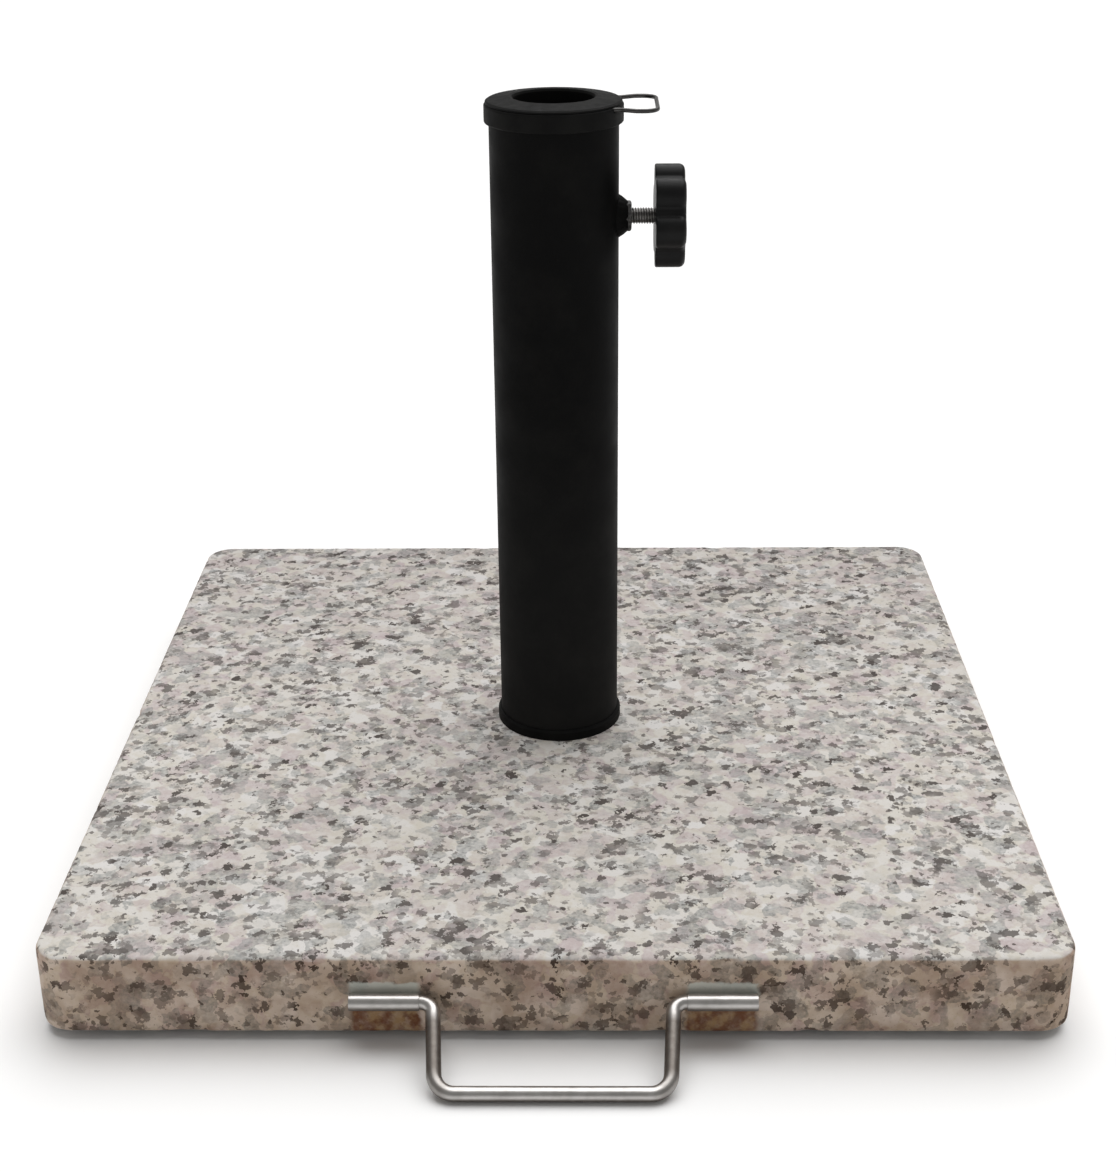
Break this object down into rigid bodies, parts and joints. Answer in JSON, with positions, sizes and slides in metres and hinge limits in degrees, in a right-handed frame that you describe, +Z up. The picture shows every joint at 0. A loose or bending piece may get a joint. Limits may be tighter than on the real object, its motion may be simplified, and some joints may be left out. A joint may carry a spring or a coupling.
{
  "type": "parasol base",
  "caption": "Square granite parasol base with an upright pole tube, side clamp knob, reducer sleeve, folding pull handle and rear rollers.",
  "frame": {"origin": "on the floor, straight under the axis of the pole tube at the middle of the stone slab", "axes": "+Z up along the pole tube; -Y towards the pull handle; +X towards the clamp knob"},
  "size_m": [0.45, 0.5042, 0.3646],
  "materials": {
    "granite": "matte",
    "black_coat": "satin",
    "black_plastic": "matte",
    "knob_plastic": "satin",
    "zinc_plate": "satin",
    "stainless": "satin",
    "spring_wire": "satin",
    "grey_nylon": "satin",
    "tyre": "matte",
    "rubber": "matte"
  },
  "bodies": {
    "base": {"granite_slab": "granite", "rubber_feet": "rubber", "tube_foot_ring": "black_plastic", "socket_tube": "black_coat", "tube_end_plate": "black_coat", "end_plate_weld": "black_coat", "end_plate_nut": "black_coat", "large_washer": "zinc_plate", "spring_washer": "zinc_plate", "base_bolt": "zinc_plate", "pole_guide": "black_plastic", "collar": "black_plastic", "reducer_sleeve": "black_plastic", "clamp_nut": "black_coat", "clamp_nut_weld": "black_coat", "handle_strap_left": "stainless", "handle_strap_right": "stainless", "wheel_bracket_left": "zinc_plate", "wheel_bracket_right": "zinc_plate", "wheel_bracket_plugs": "grey_nylon", "wheel_bracket_screws": "zinc_plate", "wheel_axles": "zinc_plate", "axle_clips": "zinc_plate"},
    "clamp_pad": {"clamp_pad": "zinc_plate"},
    "clamp_knob": {"clamp_screw": "zinc_plate", "knob": "knob_plastic", "knob_cap": "knob_plastic"},
    "handle": {"handle": "stainless"},
    "collar_clip": {"collar_clip": "spring_wire"},
    "wheel_left": {"wheel_hub_left": "grey_nylon", "wheel_tyre_left": "tyre"},
    "wheel_right": {"wheel_hub_right": "grey_nylon", "wheel_tyre_right": "tyre"}
  },
  "joints": [
    {"name": "pad_slide", "type": "slide", "parent": "base", "child": "clamp_pad", "axis": [1, 0, 0], "range_m": [-0.00805, 0.0023]},
    {"name": "screw_turn", "type": "hinge", "parent": "clamp_pad", "child": "clamp_knob", "pos_m": [0, 0, 0.308], "axis": [1, 0, 0], "range_deg": [-2304, 648]},
    {"name": "handle_fold", "type": "hinge", "parent": "base", "child": "handle", "pos_m": [0, -0.2291, 0.023], "axis": [-1, 0, 0], "range_deg": [0, 118]},
    {"name": "clip_pull", "type": "slide", "parent": "base", "child": "collar_clip", "axis": [1, 0, 0], "range_m": [0, 0.012]},
    {"name": "wheel_left_spin", "type": "hinge", "parent": "base", "child": "wheel_left", "pos_m": [-0.14, 0.219, 0.0185], "axis": [1, 0, 0], "continuous": true},
    {"name": "wheel_right_spin", "type": "hinge", "parent": "base", "child": "wheel_right", "pos_m": [0.14, 0.219, 0.0185], "axis": [1, 0, 0], "continuous": true}
  ],
  "couplings": [
    {"joint": "pad_slide", "follows": "screw_turn", "m_per_rad": 0.00019894}
  ]
}
